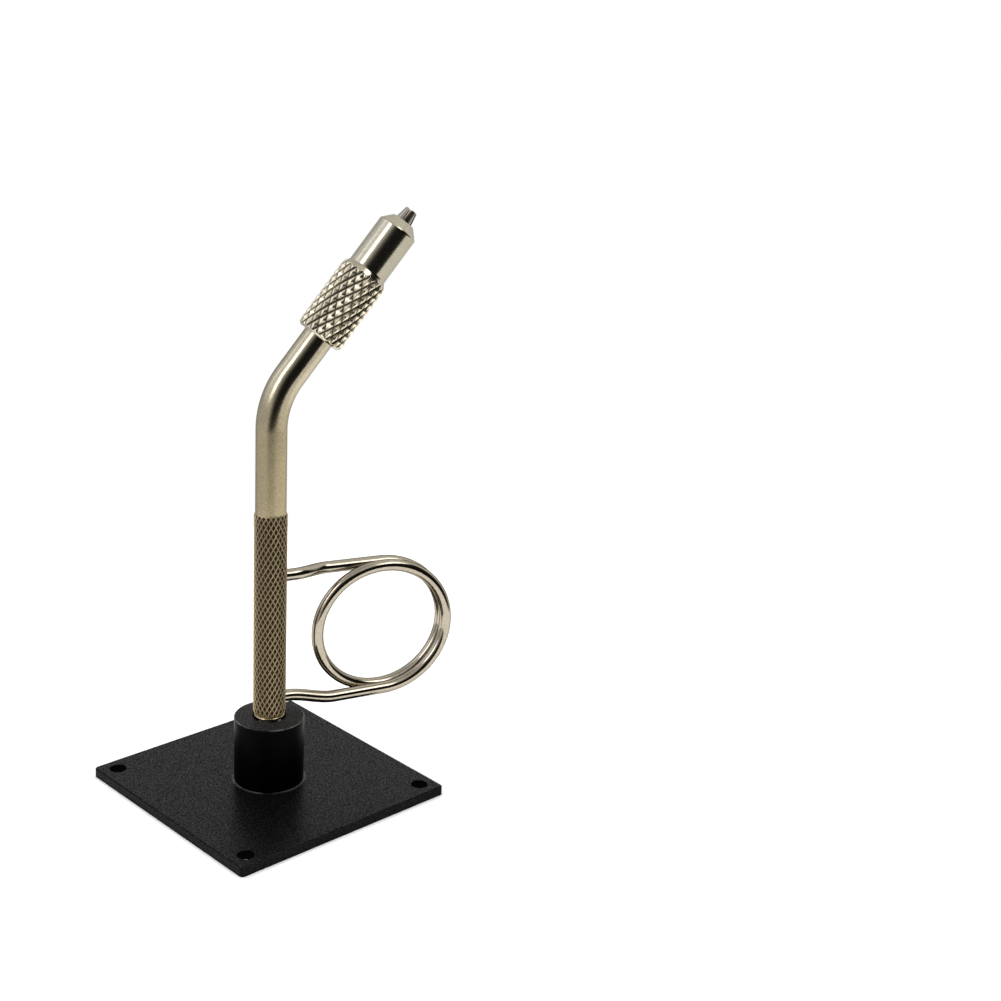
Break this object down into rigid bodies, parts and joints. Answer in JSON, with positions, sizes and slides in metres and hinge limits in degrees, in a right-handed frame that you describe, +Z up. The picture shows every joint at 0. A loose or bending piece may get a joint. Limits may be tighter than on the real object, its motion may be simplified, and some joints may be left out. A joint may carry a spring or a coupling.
{
  "type": "fly tying vise",
  "caption": "Fly tying vise: a bent stem with a knurled grip, a wire finger loop and a collet head that a knurled sleeve closes, screwed into a square plate base.",
  "frame": {"origin": "middle of the plate's underside, under the stem's axis and at the centre of the corner holes", "axes": "+Z up along the stem, +X the way the arm leans and the finger loop reaches, +Y to the back of that plane; the plate is turned 18 degrees about +Z from those axes, as in the picture"},
  "size_m": [0.0936, 0.0836, 0.1555],
  "materials": {
    "plate_black": "satin",
    "boss_black": "semi-gloss",
    "screw_steel": "black oxide",
    "thread_steel": "machined",
    "stem_nickel": "satin nickel, knurled on the grip",
    "loop_nickel": "bright nickel",
    "collet_steel": "ground, hardened",
    "sleeve_nickel": "polished nickel, knurled on the grip",
    "ring_rubber": "matt"
  },
  "bodies": {
    "base": {"base_plate": "plate_black", "base_socket": "boss_black", "socket_screw": "screw_steel"},
    "stud": {"stem_stud": "thread_steel"},
    "stem": {"stem_rod": "stem_nickel", "finger_loop": "loop_nickel", "collet_shank": "collet_steel"},
    "ring": {"sleeve_friction_ring": "ring_rubber"},
    "sleeve": {"closing_sleeve": "sleeve_nickel"},
    "jaw_lower": {"jaw_lower": "collet_steel"},
    "jaw_rear": {"jaw_rear": "collet_steel"},
    "jaw_upper": {"jaw_upper": "collet_steel"},
    "jaw_front": {"jaw_front": "collet_steel"}
  },
  "joints": [
    {"name": "stud_lift", "type": "slide", "parent": "base", "child": "stud", "axis": [0, 0, 1], "range_m": [0, 0.00763]},
    {"name": "stem_turn", "type": "hinge", "parent": "stud", "child": "stem", "pos_m": [0, 0, 0.02095], "axis": [0, 0, 1], "range_deg": [0, 2160]},
    {"name": "sleeve_travel", "type": "slide", "parent": "stem", "child": "ring", "axis": [-0.6157, 0, -0.788], "range_m": [-0.00052, 0.00116]},
    {"name": "sleeve_turn", "type": "hinge", "parent": "ring", "child": "sleeve", "pos_m": [0.01211, 0, 0.12353], "axis": [-0.6157, 0, -0.788], "range_deg": [-185, 415]},
    {"name": "jaw_lower_flex", "type": "hinge", "parent": "stem", "child": "jaw_lower", "pos_m": [0.02414, 0, 0.13665], "axis": [0, -1, 0], "range_deg": [-0.75, 1.69]},
    {"name": "jaw_rear_flex", "type": "hinge", "parent": "stem", "child": "jaw_rear", "pos_m": [0.02304, 0.0014, 0.13752], "axis": [0.788, 0, -0.6157], "range_deg": [-0.75, 1.69]},
    {"name": "jaw_upper_flex", "type": "hinge", "parent": "stem", "child": "jaw_upper", "pos_m": [0.02194, 0, 0.13838], "axis": [0, 1, 0], "range_deg": [-0.75, 1.69]},
    {"name": "jaw_front_flex", "type": "hinge", "parent": "stem", "child": "jaw_front", "pos_m": [0.02304, -0.0014, 0.13752], "axis": [-0.788, 0, 0.6157], "range_deg": [-0.75, 1.69]}
  ],
  "couplings": [
    {"joint": "stud_lift", "follows": "stem_turn", "m_per_rad": 0.00020213},
    {"joint": "sleeve_travel", "follows": "sleeve_turn", "m_per_rad": 0.00015915},
    {"joint": "jaw_lower_flex", "follows": "sleeve_turn", "ratio": 0.0040457},
    {"joint": "jaw_rear_flex", "follows": "sleeve_turn", "ratio": 0.0040457},
    {"joint": "jaw_upper_flex", "follows": "sleeve_turn", "ratio": 0.0040457},
    {"joint": "jaw_front_flex", "follows": "sleeve_turn", "ratio": 0.0040457}
  ]
}
